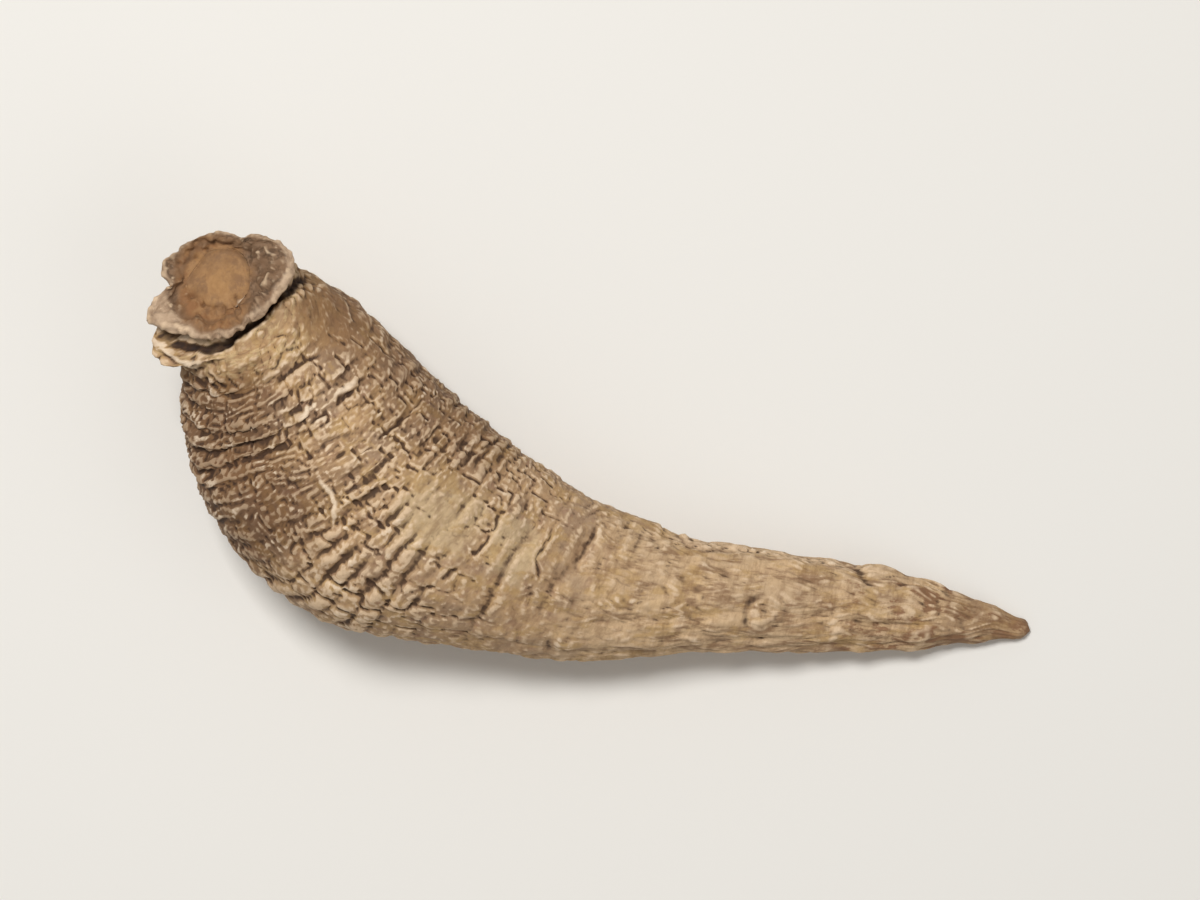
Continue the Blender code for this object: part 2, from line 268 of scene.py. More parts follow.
# Single cracks on the upper side, each: depth, half width, plan places
CRACKS = (
    (0.30, 0.17, ((-22.5, 4.4), (-21.4, 5.3), (-20.5, 5.8), (-19.2, 6.7))),
    (0.38, 0.20, ((-20.7, 0.9), (-18.9, 2.6), (-16.8, 4.5), (-15.4, 6.1))),
    (0.30, 0.17, ((-16.4, -0.4), (-14.1, 1.7), (-11.5, 4.1))),
    (0.32, 0.20, ((-20.9, 1.4), (-20.3, 0.1), (-19.4, -1.0))),
    (0.24, 0.16, ((-6.6, -3.1), (-7.1, -5.1), (-8.7, -7.2), (-11.1, -9.2), (-13.4, -10.0))),
    (0.22, 0.15, ((-21.3, -5.1), (-20.2, -6.8))),
    (0.22, 0.15, ((-16.0, -4.2), (-14.3, -5.9))),
    (0.22, 0.15, ((-16.2, -8.7), (-14.1, -10.8))),
    (0.17, 0.15, ((-2.7, -4.4), (-3.5, -6.1), (-4.4, -7.7), (-4.2, -8.7), (-5.5, -10.0))),
    (0.15, 0.15, ((0.2, -4.9), (-0.8, -6.3), (-1.0, -7.0), (-1.8, -7.9))),
    (0.10, 0.15, ((-6.2, -10.6), (-4.0, -9.9), (-1.6, -10.6), (0.6, -10.4))),
    (0.09, 0.15, ((0.4, -8.6), (2.0, -9.4), (3.7, -9.3), (5.4, -10.1))),
    (0.09, 0.14, ((-0.4, -10.9), (2.2, -11.3), (4.6, -11.2), (6.8, -11.9))),
    (0.08, 0.14, ((-0.9, -4.3), (0.9, -5.1), (1.8, -6.2))),
    (0.08, 0.14, ((3.4, -6.4), (4.9, -7.2), (7.0, -7.3))),
    (0.18, 0.14, ((-12.6, -0.2), (-11.0, 1.6), (-9.6, 2.4))),
    (0.18, 0.14, ((-10.0, -1.6), (-8.2, 0.2), (-7.0, 0.7))),
    (0.07, 0.15, ((6.6, -9.0), (9.4, -9.7), (12.8, -9.6))),
    (0.08, 0.15, ((12.6, -11.2), (15.8, -11.4), (19.4, -11.2))),
    (0.14, 0.13, ((24.5, -10.2), (24.2, -11.3), (24.3, -12.6))),
    (0.14, 0.11, ((10.9, -11.2), (11.4, -11.0), (11.9, -11.25))),
)
CRACK_SIDES = (0.35, 2.6)  # height and half width of a crack's raised sides, over the crack's own
CRACK_OPENING = (0.25, -0.4, 0.05, 0.9)  # how open cracks are at least, noise limits and size
# The slot between the rim and the shoulder, in the same way
SLOT = (
    0.45,
    0.26,
    ((-20.6, 12.0), (-22.3, 10.3), (-23.8, 8.8), (-25.0, 7.9), (-26.7, 6.9), (-27.8, 6.9), (-29.1, 7.4)),
)
# Raised pale folds on the upper side, in the same way: height, half width, plan places
WELTS = (
    (0.22, 0.20, ((-31.2, 8.0), (-30.1, 6.8), (-29.1, 6.1), (-27.9, 5.9), (-26.9, 6.3))),
    (0.20, 0.24, ((-20.8, 1.9), (-19.6, 3.2))),
    (0.18, 0.24, ((-18.4, 3.5), (-16.8, 5.0))),
    (0.22, 0.22, ((-19.4, -1.6), (-18.5, -2.8), (-18.1, -4.1), (-18.5, -5.3))),
    (0.20, 0.20, ((-25.1, 9.8), (-24.1, 10.7))),
)
# The folded lip at the lower left of the rim, and the lumpy lobe at its right: height, width, places
FOLDED_LIP = (0.08, 0.80, ((-30.6, 10.3), (-29.8, 8.9), (-28.5, 8.1)))
RIGHT_LOBE = (0.20, 1.1, ((-23.4, 13.2), (-22.6, 11.9), (-23.6, 10.2)))
# Pits on the scar: plan place, radius and depth
SCAR_PITS = (
    (-26.6, 14.25, 0.22, 0.28), (-27.1, 13.8, 0.18, 0.26), (-27.7, 13.3, 0.20, 0.30),
    (-24.1, 13.7, 0.24, 0.34), (-29.0, 12.8, 0.18, 0.22), (-28.3, 10.4, 0.22, 0.34),
    (-27.4, 10.0, 0.20, 0.30), (-24.9, 10.4, 0.24, 0.34), (-29.3, 10.1, 0.18, 0.22),
)
DISC_GROOVE = (0.08, 1.08, 0.13)  # depth in mm, and place and half width over the disc's half size
DISC_GROOVE_BREAKS = (0.0, 0.35, 1.1)  # it is missing where this noise is low: limits and size
DISC_RING_FILL = 0.2  # what the skin gains there
CUP_LUMPS = (0.20, 1.0)  # the crumpled face of the cup: height of its lumps and their size
CUP_RIDGES = (0.34, 0.55)
RIM_SWELLINGS = (0.12, 0.8, 0.8)

# What the colours follow, besides the zones themselves
# Cracks are painted darker the deeper they are: painted shade in them.
CRACK_DARKNESS = 5  # darkness of a crack for each mm of its depth, up to 1
CRACK_SPREAD = 1.3  # width of its colour over its own
# The slot's dark colour is painted shadow under the rim.
SLOT_DARKNESS = 1.8
PIT_DARKNESS = 0.8
ROOTLET_OUTLINE = 0.15  # half width of the dark line round the rootlet scar, over the scar's half size
ROOTLET_BREAKS = (0.6, -0.35, 0.2, 0.8)  # how dark it is at least, noise limits and size
# The creases' painted shade and the crests' painted highlights come from how hollow the skin is.
LEFT_HOLLOW = 0.15  # what the creases' colour gains on the left flank
# The darkened flanks are painted shade.
RIGHT_SHADE = 0.7  # how dark the right flank is over the left one
CROWN_ZONES = ("disc", "ochre", "core", "lip", "face", "rim_edge", "wall", "neck")
COLOUR_ZONES = CROWN_ZONES + ("shoulder", "bare", "patch", "tail", "edge", "far", "tip")


def smooth_through(points, samples=4000):
    """A smooth curve through these points, and the distance along it, which counts only x, y and z."""
    points = np.array(points, float)
    gap = np.linalg.norm(np.diff(points[:, :3], axis=0), axis=1)
    knot = np.concatenate([[0.0], np.cumsum(gap)])
    chord = np.diff(points, axis=0) / gap[:, None]
    inner = (chord[:-1] * gap[1:, None] + chord[1:] * gap[:-1, None]) / (gap[1:] + gap[:-1])[:, None]
    slope = np.vstack([chord[:1], inner, chord[-1:]])
    at = np.unique(np.concatenate([np.linspace(0, knot[-1], samples), knot]))
    i = np.clip(np.searchsorted(knot, at, side="right") - 1, 0, len(gap) - 1)
    t = ((at - knot[i]) / gap[i])[:, None]
    h = gap[i][:, None]
    curve = (
        (1 + 2 * t) * (1 - t) ** 2 * points[i]
        + t * (1 - t) ** 2 * h * slope[i]
        + t**2 * (3 - 2 * t) * points[i + 1]
        + t**2 * (t - 1) * h * slope[i + 1]
    )
    step = np.linalg.norm(np.diff(curve[:, :3], axis=0), axis=1)
    distance = np.concatenate([[0.0], np.cumsum(step)])
    return distance, curve


def read_at(distance, curve, at):
    """Points of a curve at these distances along it."""
    return np.stack([np.interp(at, distance, column) for column in curve.T], axis=-1)


def rows_of_profile():
    """At each row: distance along the centreline, half thickness, and distance over the skin."""
    distance, curve = smooth_through(SCAR_FACE + RIM + NECK + BODY + TAIL)
    spacing = np.interp(distance, *zip(*ROW_SPACING))
    count = np.concatenate([[0.0], np.cumsum(np.diff(distance) / spacing[1:])])
    rows = int(round(count[-1]))
    at = np.interp(np.linspace(0, count[-1], rows + 1), count, distance)
    profile = read_at(distance, curve, at)
    return profile[:, 0], np.maximum(profile[:, 1], 0.0), at


def sections_along(along):
    """Centre, side and upper directions of the root's sections at these distances."""
    distance, curve = smooth_through(SPINE)
    x, y, z, heading, lean = read_at(distance, curve, along).T
    heading, lean = np.radians(heading), np.radians(lean)
    side = np.stack([-np.sin(heading), np.cos(heading), np.zeros_like(x)], axis=-1)
    ahead = np.stack([np.cos(heading), np.sin(heading), np.zeros_like(x)], axis=-1)
    upper = np.sin(lean)[:, None] * ahead + np.cos(lean)[:, None] * np.array((0.0, 0.0, 1.0))
    return np.stack([x, y, z], axis=-1), side, upper


def smooth_step(low, high, x):
    t = np.clip((x - low) / (high - low), 0.0, 1.0)
    return t * t * (3 - 2 * t)


def fade(limits, x):
    """Rises from 0 to 1 and falls back to 0 between the four limits."""
    return smooth_step(limits[0], limits[1], x) * (1 - smooth_step(limits[2], limits[3], x))


def bell(x, middle, width):
    """1 in the middle, falling to 0 at both sides."""
    return np.exp(-(((x - middle) / width) ** 2))


def degrees_from(angle, degrees):
    """Degrees between a direction round the root and the angles, from -180 to 180."""
    return (np.degrees(angle) - degrees + 180) % 360 - 180


def bump_round(angle, degrees, spread, height):
    """A bump of that height round the root, with that half spread in degrees."""
    return height * bell(degrees_from(angle, degrees), 0, spread)


def noise_at(points, size, seed):
    """Smooth noise of that feature size in mm, between about -1 and 1."""
    flat = (points / size).reshape(-1, 3) + 20.0 * seed
    values = [noise.noise(Vector(point)) for point in flat]
    return np.array(values).reshape(points.shape[:-1])


def patchy(points, limits, seed):
    """From the least value up to 1, in patches: the least value, noise limits and patch size."""
    least, low, high, size = limits
    return least + (1 - least) * smooth_step(low, high, noise_at(points, size, seed))


def folded(wave):
    """A wave with round crests and sharp valleys, from a phase in turns: 1 on crests, -1 in valleys."""
    return 2 * np.abs(np.cos(math.pi * wave)) ** FOLD_POWER - 1


def straightened(along, radius, angle):
    """Places on a straightened root, where the first coordinate runs along it."""
    return np.stack([along, radius * np.cos(angle), radius * np.sin(angle)], axis=-1)


def rings_wandering(straight, along):
    """Distances along the root that follow its wandering rings."""
    stray, length = RING_WANDER
    return along + stray * noise_at(straight, length, 2)


def ring_relief(straight, along, angle):
    """The body's rings, deepest on its left flank."""
    upper = 0.5 + 0.5 * np.sin(angle)
    left = 0.5 - 0.5 * np.cos(angle)
    low, high, size = RING_BREAKS
    whole = smooth_step(low, high, noise_at(straight, size, 3))
    whole = np.maximum(whole, LEFT_RINGS_WHOLE * left**2)
    depth = (RING_DEPTH + LEFT_RING_DEPTH * left**2) * whole
    depth = depth * (UNDER_RING_SHARE + (1 - UNDER_RING_SHARE) * upper)
    depth = depth * (1 - bump_round(angle, *SOFT_RINGS) * fade(SOFT_RINGS_SPAN, along))
    stray, less, size = RING_TEAR
    torn = (stray - less * left) * noise_at(straight, size, 5)
    phase = (rings_wandering(straight, along) + torn) / RING_SPACING
    wave = 0.5 * np.cos(2 * math.pi * phase) + 0.5 * folded(phase)
    return RING_SHARE * depth * fade(RING_SPAN, along) * wave


def wrinkle_relief(straight, along, angle, radius):
    """Wrinkles that run lengthwise, mostly on the tail."""
    stray, length = WRINKLE_WANDER
    turned = angle + stray * noise_at(straight, length, 4) + WRINKLE_TWIST * along
    stray, length = WRINKLE_TEAR
    turned = turned + stray * noise_at(straight, length, 8) / np.maximum(radius, 1.0)
    wave = folded(WRINKLES_AROUND * turned / (2 * math.pi))
    return WRINKLE_SHARE * WRINKLE_DEPTH * fade(WRINKLE_SPAN, along) * wave


def body_relief(along, angle, radius):
    """The solid's own lumps, rings, wrinkles, sunken rings and stubs, with sharper valleys."""
    straight = straightened(along, radius, angle)
    relief = LUMP_HEIGHT * noise_at(straight, LUMP_SIZE, 1) * smooth_step(*LUMP_START, along)
    relief += ring_relief(straight, along, angle)
    relief += wrinkle_relief(straight, along, angle, radius)

    ringed = rings_wandering(straight, along)
    for place, degrees, spread, depth in GROOVES:
        relief -= bell(ringed, place, GROOVE_WIDTH) * bump_round(angle, degrees, spread, depth)
    crease, crease_radius, crease_width = STUB_CREASE
    for place, degrees, size, height, pit in STUBS:
        away = np.hypot(along - place, np.radians(degrees_from(angle, degrees)) * radius) / size
        relief += STUB_SHARE * height * np.exp(-(away**4)) - pit * bell(away, 0, STUB_PIT)
        relief -= crease * bell(away, crease_radius, crease_width / size)
    return relief


def mixed_up(seed, *whole):
    """A number from 0 to 1 for each set of whole numbers, without any pattern."""
    *steps, seed_step, stretch = SCRAMBLE
    mixture = sum(step * number for step, number in zip(steps, whole)) + seed_step * seed
    return np.modf(np.abs(np.sin(mixture)) * stretch)[0]


def blocks(zone, spacing, sizes, seed):
    """Height of blocks of skin: each ring is cut into blocks, like bricks with ragged joints."""
    length, depth, step, stray, size = sizes
    straight = zone["straight"]
    ringed = rings_wandering(zone["form"], zone["along"]) + stray * noise_at(straight, size, seed)
    row = np.rint(ringed / spacing)
    thick = np.interp(row * spacing, zone["centreline"], zone["thickness"])
    shortest, more = BLOCK_LENGTHS
    block = length * (shortest + more * mixed_up(seed, row))
    count = np.maximum(FEWEST_BLOCKS, np.rint(2 * math.pi * thick / block))
    turned = zone["angle"] + stray * noise_at(straight, size, seed + 1) / np.maximum(thick, 1)
    place = turned / (2 * math.pi) * count + 10 * mixed_up(seed + 2, row)
    column = np.floor(place)
    share = place - column - 0.5
    joint = np.mod(column + (share > 0), count)
    gap = (0.5 - np.abs(share)) * 2 * math.pi * thick / count
    crack = depth * mixed_up(seed + 3, row, joint) ** JOINT_POWER * bell(gap, 0, JOINT_WIDTH)
    height = step * (mixed_up(seed + 4, row, np.mod(column, count)) - 0.5)
    height = height * smooth_step(0, JOINT_SHOULDER, gap)
    height = height + step * ROW_STEP * (mixed_up(seed + 5, row) - 0.5)
    return height * (1 - smooth_step(*ROW_EDGE, np.abs(ringed / spacing - row))) - crack


def crown_relief(along, radius, angle):
    """What the rim's torn outline and the older scale under it add to the radius."""
    degrees, reach = zip(*RIM_OUTLINE)
    outline = np.interp(np.degrees(angle), degrees, reach, period=360) / max(r for _, r in RIM)
    on_rim = np.where(along < RIM_END, smooth_step(*RIM_TURN, radius), 0)
    on_neck = np.where(along < RIM_END, 0, NECK_FOLLOWS_RIM * (1 - smooth_step(*NECK_TURN, along)))
    scale = bump_round(angle, *LOWER_SCALE) * fade(LOWER_SCALE_SPAN, along)
    stray, size = RAGGED_RIM
    ragged = stray * noise_at(straightened(along, radius, angle), size, 6)
    wider = RAGGED_RIM_SHARE * ragged + bump_round(angle, *RIM_OVERHANG)
    return (on_rim + on_neck) * (outline - 1) * radius + scale * (1 + ragged) + on_rim * wider


def cup_relief(along, radius, angle):
    """How far the scar's own rings stray."""
    stray, size = CUP_STRAY
    in_cup = np.where(along < RIM_END, fade(CUP_SPAN, radius), 0)
    return in_cup * stray * noise_at(straightened(along, radius, angle), size, 7)


def form_of_root():
    """Skin points, with each one's distance along, radius, angle and distance over the skin."""
    along, radius, over = rows_of_profile()
    centre, side, upper = sections_along(along)
    turn = np.linspace(0, 2 * math.pi, COLUMNS, endpoint=False)
    along_grid, angle_grid = np.meshgrid(along, turn + TOP_SHARE * np.cos(turn), indexing="ij")
    radius_grid = np.broadcast_to(radius[:, None], along_grid.shape)

    on_body = smooth_step(0.0, POLE_CAP, radius_grid)
    reach = radius_grid + crown_relief(along_grid, radius_grid, angle_grid)
    reach += cup_relief(along_grid, radius_grid, angle_grid)
    reach += on_body * body_relief(along_grid, angle_grid, radius_grid)
    height = 1 - (1 - SECTION_HEIGHT) * smooth_step(*FLATTENING, along_grid)
    on_scar = np.where(along < RIM_END, np.clip(1 - (radius / RIM[1][1]) ** 2, 0, 1), 0)[:, None]
    sideways, up = SCAR_OFFSET

    points = (centre + on_scar * (sideways * side + up * upper))[:, None, :]
    points = points + (reach * np.cos(angle_grid))[..., None] * side[:, None, :]
    points = points + (reach * height * np.sin(angle_grid))[..., None] * upper[:, None, :]
    return points, along_grid, radius_grid, angle_grid, np.broadcast_to(over[:, None], along_grid.shape)


def placed(points):
    """The points moved the way the solid's were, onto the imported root's place."""
    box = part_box("ginseng_root")
    middle = [(box[0][k] + box[1][k]) / 2 / MM for k in (0, 1)]
    low, high = points.min((0, 1)), points.max((0, 1))
    return points - ((low[0] + high[0]) / 2 - middle[0], (low[1] + high[1]) / 2 - middle[1], BED_HEIGHT)


def normals_of(points):
    """Outward unit normals of the skin's points."""
    down = np.gradient(points, axis=0)
    across = np.roll(points, -1, axis=1) - np.roll(points, 1, axis=1)
    normal = np.cross(across, down)
    normal = normal / np.maximum(np.linalg.norm(normal, axis=-1, keepdims=True), 1e-9)
    for pole, ring in ((0, 2), (-1, -3)):
        normal[pole] = normal[ring].mean(0) / np.linalg.norm(normal[ring].mean(0))
    return normal


def lumps(straight, sizes, seed):
    """Soft lumps, between about -1 and 1, in the sizes given."""
    along, around = sizes
    return noise_at(straight / np.array((along, around, around)), 1.0, seed)


def swellings(straight, sizes, seed):
    """Round swellings with sharp creases between them, from about -0.5 to 1, in the sizes given."""
    gain, lowered = SWELLING_RANGE
    return np.abs(lumps(straight, sizes, seed)) * gain - lowered


def along_line(plan, places):
    """How far plan points lie from a line of places, and where along it, from 0 to 1."""
    places = smooth_through(places, LINE_SAMPLES)[1]
    lengths = np.hypot(*np.diff(places, axis=0).T)
    start = np.concatenate([[0.0], np.cumsum(lengths)]) / lengths.sum()
    nearest, share = np.full(plan.shape[:-1], 1e9), np.zeros(plan.shape[:-1])
    for a, b, low, high in zip(places, places[1:], start, start[1:]):
        t = np.clip(((plan - a) @ (b - a)) / ((b - a) @ (b - a)), 0, 1)
        gap = np.linalg.norm(plan - a - t[..., None] * (b - a), axis=-1)
        share = np.where(gap < nearest, low + (high - low) * t, share)
        nearest = np.minimum(nearest, gap)
    return nearest, share


def strip(plan, width, places, tapered=True):
    """1 on a line of places, falling to 0 at its sides and, when tapered, at its ends."""
    away, share = along_line(plan, places)
    ends = np.clip(4 * share * (1 - share), 0, 1) ** 0.5 if tapered else 1.0
    return ends * bell(away, 0, width)


def broken_strip(zone, width, places):
    """A tapered strip on the upper side that opens and closes along its length."""
    return zone["up"] * zone["open"] * strip(zone["plan"], width, places)


def slot_strip(zone):
    """1 in the slot between the rim and the shoulder."""
    return zone["up"] * zone["beyond"] * strip(zone["plan"], *SLOT[1:], tapered=False)


def pit_on(plan, x, y, size):
    """1 in the middle of a pit, falling to 0 round it."""
    return bell(np.hypot(plan[..., 0] - x, plan[..., 1] - y), 0, size)


def oval(plan, centre, sizes):
    """Distance from the centre of an oval, 1 on its edge."""
    return np.hypot(*np.moveaxis((plan - centre) / sizes, -1, 0))


def inside(key, away):
    """1 in the middle of a zone on a patch, falling to 0 at its edge."""
    return 1 - smooth_step(*FALLS[key], away)


def left_of(key, zone):
    """What the zones leave of a relief or a colour, from 0 to 1."""
    kept = 1.0
    for name, loss in LOSSES[key].items():
        kept = kept * (1 - loss * zone[name])
    return kept


def measures_of(points, normal, along, radius, angle, over):
    """The places and directions that zones and reliefs are found from."""
    straight = straightened(over + CUP_STRETCH * np.clip(CUP_PATH - over, 0, CUP_PATH), radius, angle)
    reach, size = WARP
    warp = np.stack([noise_at(straight, size, seed) for seed in (11, 12, 13)], axis=-1)
    plan = points[..., :2]
    for stray, length, seeds in PLAN_STRAYS:
        plan = plan + stray * np.stack([noise_at(points, length, seed) for seed in seeds], axis=-1)
    return {
        "place": points,
        "plan": plan,
        "straight": straight,
        "warped": straight + reach * warp,
        "form": straightened(along, radius, angle),
        "along": along,
        "angle": angle,
        "radius": radius,
        "centreline": along[:, 0][along[:, 0] > RIM_END],
        "thickness": radius[:, 0][along[:, 0] > RIM_END],
        "up": smooth_step(*UPWARD, normal[..., 2]),
        "open": patchy(points, CRACK_OPENING, 65),
        "ragged": sum(stray * noise_at(points, length, seed) for stray, length, seed in RAGGED_EDGES),
    }


def bands_of(zone):
    """Zones that lie along and round the root."""
    along, angle = zone["along"], zone["angle"]
    band = {key: fade(limits, along) for key, limits in BANDS.items()}
    band.update({key: smooth_step(*limits, along) for key, limits in RISES.items()})
    band["left"] = band["left"] * smooth_step(*LEFT_SIDE, -np.cos(angle + LEFT_TURN))
    band["right"] = band["right"] * smooth_step(*RIGHT_SIDE, np.cos(angle))
    band["edge"] = band["edge"] * bump_round(angle, *TAIL_SIDE, 1.0)
    band["wall"] = band["wall"] * smooth_step(*WALL_RADII, zone["radius"])
    band["upper_shoulder"] = band["shoulder"] * zone["up"]
    band["ringed"] = band["ringed"] * left_of("ringed", band)
    band["beyond"] = np.where(along >= RIM_END, 1.0, 0.0)
    return band


def crown_zones(zone):
    """Zones on the scar and its rim."""
    plan, radius, ragged = zone["plan"], zone["radius"], zone["ragged"]
    from_disc = oval(plan, *SCAR_DISC)
    on_crown = np.where(zone["along"] < RIM_END, 1.0, 0.0)
    face = on_crown * zone["up"]
    inner = 1 - OCHRE_LOSS * smooth_step(*OCHRE_RADII, radius)
    return {
        "face": face,
        "disc": face * inside("disc", from_disc + DISC_RAGGED_SHARE * ragged),
        "core": face * inside("core", from_disc + ragged),
        "ochre": face * inner * inside("ochre", oval(plan, *SCAR_ZONE) + ragged),
        "ring": on_crown * bell(radius, *DISC_RING),
        "lip": face * strip(plan, *FOLDED_LIP[1:], tapered=False),
        "lobe": face * strip(plan, *RIGHT_LOBE[1:], tapered=False),
        "rim_edge": face * smooth_step(*RIM_EDGE_RADII, radius),
    }


def patches_of(zone):
    """Zones on patches of the body's upper side."""
    plan, up, ragged = zone["plan"], zone["up"], zone["ragged"]
    nearest = np.minimum(*(oval(plan, *patch) for patch in SMOOTH_PATCHES))
    return {
        "bare": up * inside("bare", oval(plan, *BARE_SHOULDER) + ragged),
        "belly": up * inside("belly", oval(plan, *CALM_BELLY) + ragged),
        "patch": up * inside("patch", nearest + PATCH_RAGGED_SHARE * ragged),
    }


def zones_of(*form):
    """Where each part of the skin is, from 0 to 1, in fields that relief and colour share."""
    zone = measures_of(*form)
    return {**zone, **bands_of(zone), **crown_zones(zone), **patches_of(zone)}


def wrinkle_net(zone):
    """Fine wrinkles along and across the root, with crests on its rings."""
    warped = zone["warped"]
    least, more = NET_STRENGTH
    strength = zone["body"] * left_of("net", zone) * (least + more * zone["left"])
    least, more, size = NET_UNEVENNESS
    strength = strength * (least + more * noise_at(zone["straight"], size, 14))
    rings = RINGLETS[0] * swellings(warped, RINGLETS[1:], 21)
    creases = CROSS_CREASES[0] * swellings(warped, CROSS_CREASES[1:], 22) + CREASE_LIFT
    crests = CRESTS[0] * (CRESTS_AT_LEAST + zone["left"]) * swellings(warped, CRESTS[1:], 23)
    yield strength * (np.minimum(rings, creases) - crests)


def broken_rings(zone):
    """The blocks into which the rings break up, and small blocks in patches on them."""
    yield zone["ringed"] * left_of("blocks", zone) * blocks(zone, RING_SPACING, BLOCKS, 41)
    small = zone["ringed"] * left_of("small_blocks", zone) * patchy(zone["straight"], SMALL_PATCHES, 28)
    yield small * blocks(zone, SMALL_SPACING, SMALL_BLOCKS, 51)


def uneven_skin(zone):
    """Pebbles on the shoulder, low lumps on the body, and the finest crumple all over."""
    pebbly = zone["shoulder"] * (UNDER_PEBBLES + (1 - UNDER_PEBBLES) * zone["up"])
    pebbly = pebbly * left_of("pebbles", zone)
    yield PEBBLES[0] * pebbly * swellings(zone["place"], PEBBLES[1:], 29)
    lumpy = zone["body"] * left_of("lumplets", zone) * (1 + SHOULDER_LUMPLETS * zone["shoulder"])
    yield LUMPLETS[0] * lumpy * lumps(zone["warped"], LUMPLETS[1:], 24)
    rough = (CROWN_CRUMPLE + (1 - CROWN_CRUMPLE) * zone["body"]) * left_of("crumple", zone)
    yield CRUMPLE[0] * rough * swellings(zone["straight"], CRUMPLE[1:], 27)


def tail_relief(zone):
    """Lumps, folds, furrows and fibres on the tail, and its bumpy edge."""
    warped, on_tail = zone["warped"], zone["body"] * zone["tail"]
    yield TAIL_LUMPS[0] * on_tail * lumps(warped, TAIL_LUMPS[1:], 30)
    yield TAIL_FOLDS[0] * zone["folds"] * swellings(warped, TAIL_FOLDS[1:], 64)
    yield TAIL_EDGE[0] * zone["edge"] * swellings(zone["straight"], TAIL_EDGE[1:], 37)
    yield FURROWS[0] * on_tail * swellings(warped, FURROWS[1:], 25)
    yield FIBRES[0] * on_tail * swellings(warped, FIBRES[1:], 26)


def cracks_and_folds(zone):
    """Single cracks with their raised sides, the slot, and single folds."""
    plan, up = zone["plan"], zone["up"]
    height, wider = CRACK_SIDES
    for depth, width, places in CRACKS:
        yield -depth * broken_strip(zone, width, places)
        yield height * depth * up * strip(plan, wider * width, places)
    yield -SLOT[0] * slot_strip(zone)
    for height, width, places in WELTS:
        yield height * up * strip(plan, width, places)


def scar_relief(zone):
    """The crumpled cup with its disc's broken groove, its lip, its lobe and its pits."""
    plan, face, place = zone["plan"], zone["face"], zone["place"]
    low, high, size = DISC_GROOVE_BREAKS
    broken = smooth_step(low, high, noise_at(place, size, 38))
    depth, *groove = DISC_GROOVE
    yield -depth * face * broken * bell(oval(plan, *SCAR_DISC), *groove)
    yield DISC_RING_FILL * zone["ring"] * (1 - broken)

    on_plan = np.concatenate([plan, np.zeros(plan.shape[:-1] + (1,))], axis=-1)
    height, size = CUP_LUMPS
    crumpled = height * noise_at(on_plan, size, 35)
    height, size = CUP_RIDGES
    crumpled = crumpled + height * np.abs(noise_at(on_plan, size, 36))
    height, *sizes = RIM_SWELLINGS
    crumpled = crumpled + height * (1 - zone["ochre"]) * swellings(place, sizes, 39)
    yield face * crumpled * left_of("crumpled_cup", zone)
    yield FOLDED_LIP[0] * zone["lip"]
    yield RIGHT_LOBE[0] * zone["lobe"]
    for x, y, size, depth in SCAR_PITS:
        yield -depth * face * pit_on(plan, x, y, size)


def fine_relief(zone):
    """Height of the fine wrinkles, cracks and pits on the skin."""
    reliefs = (wrinkle_net, broken_rings, uneven_skin, tail_relief, cracks_and_folds, scar_relief)
    return sum(height for relief in reliefs for height in relief(zone))


def hollow_of(points, normal):
    """How far each point lies below its neighbours, at a fine and a coarse step, in mm."""
    found = []
    for down, across in HOLLOW_STEPS:
        above = np.roll(points, down, axis=0) + np.roll(points, -down, axis=0)
        beside = np.roll(points, across, axis=1) + np.roll(points, -across, axis=1)
        found.append((((above + beside) / 4 - points) * normal).sum(-1))
    return found


def colour_values(zone, hollows):
    """The values that the skin's material reads, by their attributes' names."""
    plan, up = zone["plan"], zone["up"]
    fine, coarse = (hollow * left_of("hollow", zone) for hollow in hollows)
    cracks = sum(
        min(1.0, CRACK_DARKNESS * depth) * broken_strip(zone, CRACK_SPREAD * width, places)
        for depth, width, places in CRACKS
    )
    pits = sum(pit_on(plan, x, y, size) for x, y, size, _ in SCAR_PITS) * zone["face"]
    outline = up * bell(oval(plan, *ROOTLET_SCAR), 1, ROOTLET_OUTLINE)
    outline = outline * patchy(zone["place"], ROOTLET_BREAKS, 63)
    values = {
        "skin_place": zone["straight"],
        # how hollow the skin is: it drives painted shade in the creases and painted highlights on the
        # crests
        "hollow": fine * left_of("fine_hollow", zone) * (1 + LEFT_HOLLOW * zone["left"]),
        "wide_hollow": coarse,
        # painted shadow in the slot under the rim
        "slot": np.clip(SLOT_DARKNESS * slot_strip(zone), 0, 1),
        # painted shade in the cracks, by their depth; also the scar's pits and the line round the
        # rootlet scar
        "crack": np.clip(cracks + PIT_DARKNESS * (pits + outline), 0, 1),
        # the raised folds' paling: partly their own pale skin, partly painted highlight
        "welt": sum(strip(plan, width, places) for _, width, places in WELTS) * up,
        # painted shade on the flanks, strongest on the left
        "shade": zone["left"] + RIGHT_SHADE * zone["right"],
    }
    values.update({key: zone[key] for key in COLOUR_ZONES})
    return values


def skin():
    """Final points in mm on the row frame, and the values that colour them."""
    points, *measures = form_of_root()
    points = placed(points)
    normal = normals_of(points)
    zone = zones_of(points, normal, *measures)
    row = np.arange(len(points))[:, None]
    from_pole = np.minimum(row, len(points) - 1 - row) / POLE_ROWS
    points = points + (fine_relief(zone) * np.clip(from_pole, 0, 1))[..., None] * normal
    hollows = [np.clip(from_pole - 1, 0, 1) * hollow for hollow in hollow_of(points, normals_of(points))]
    points[..., 2] = np.maximum(points[..., 2], 0.0)
    return points, colour_values(zone, hollows)


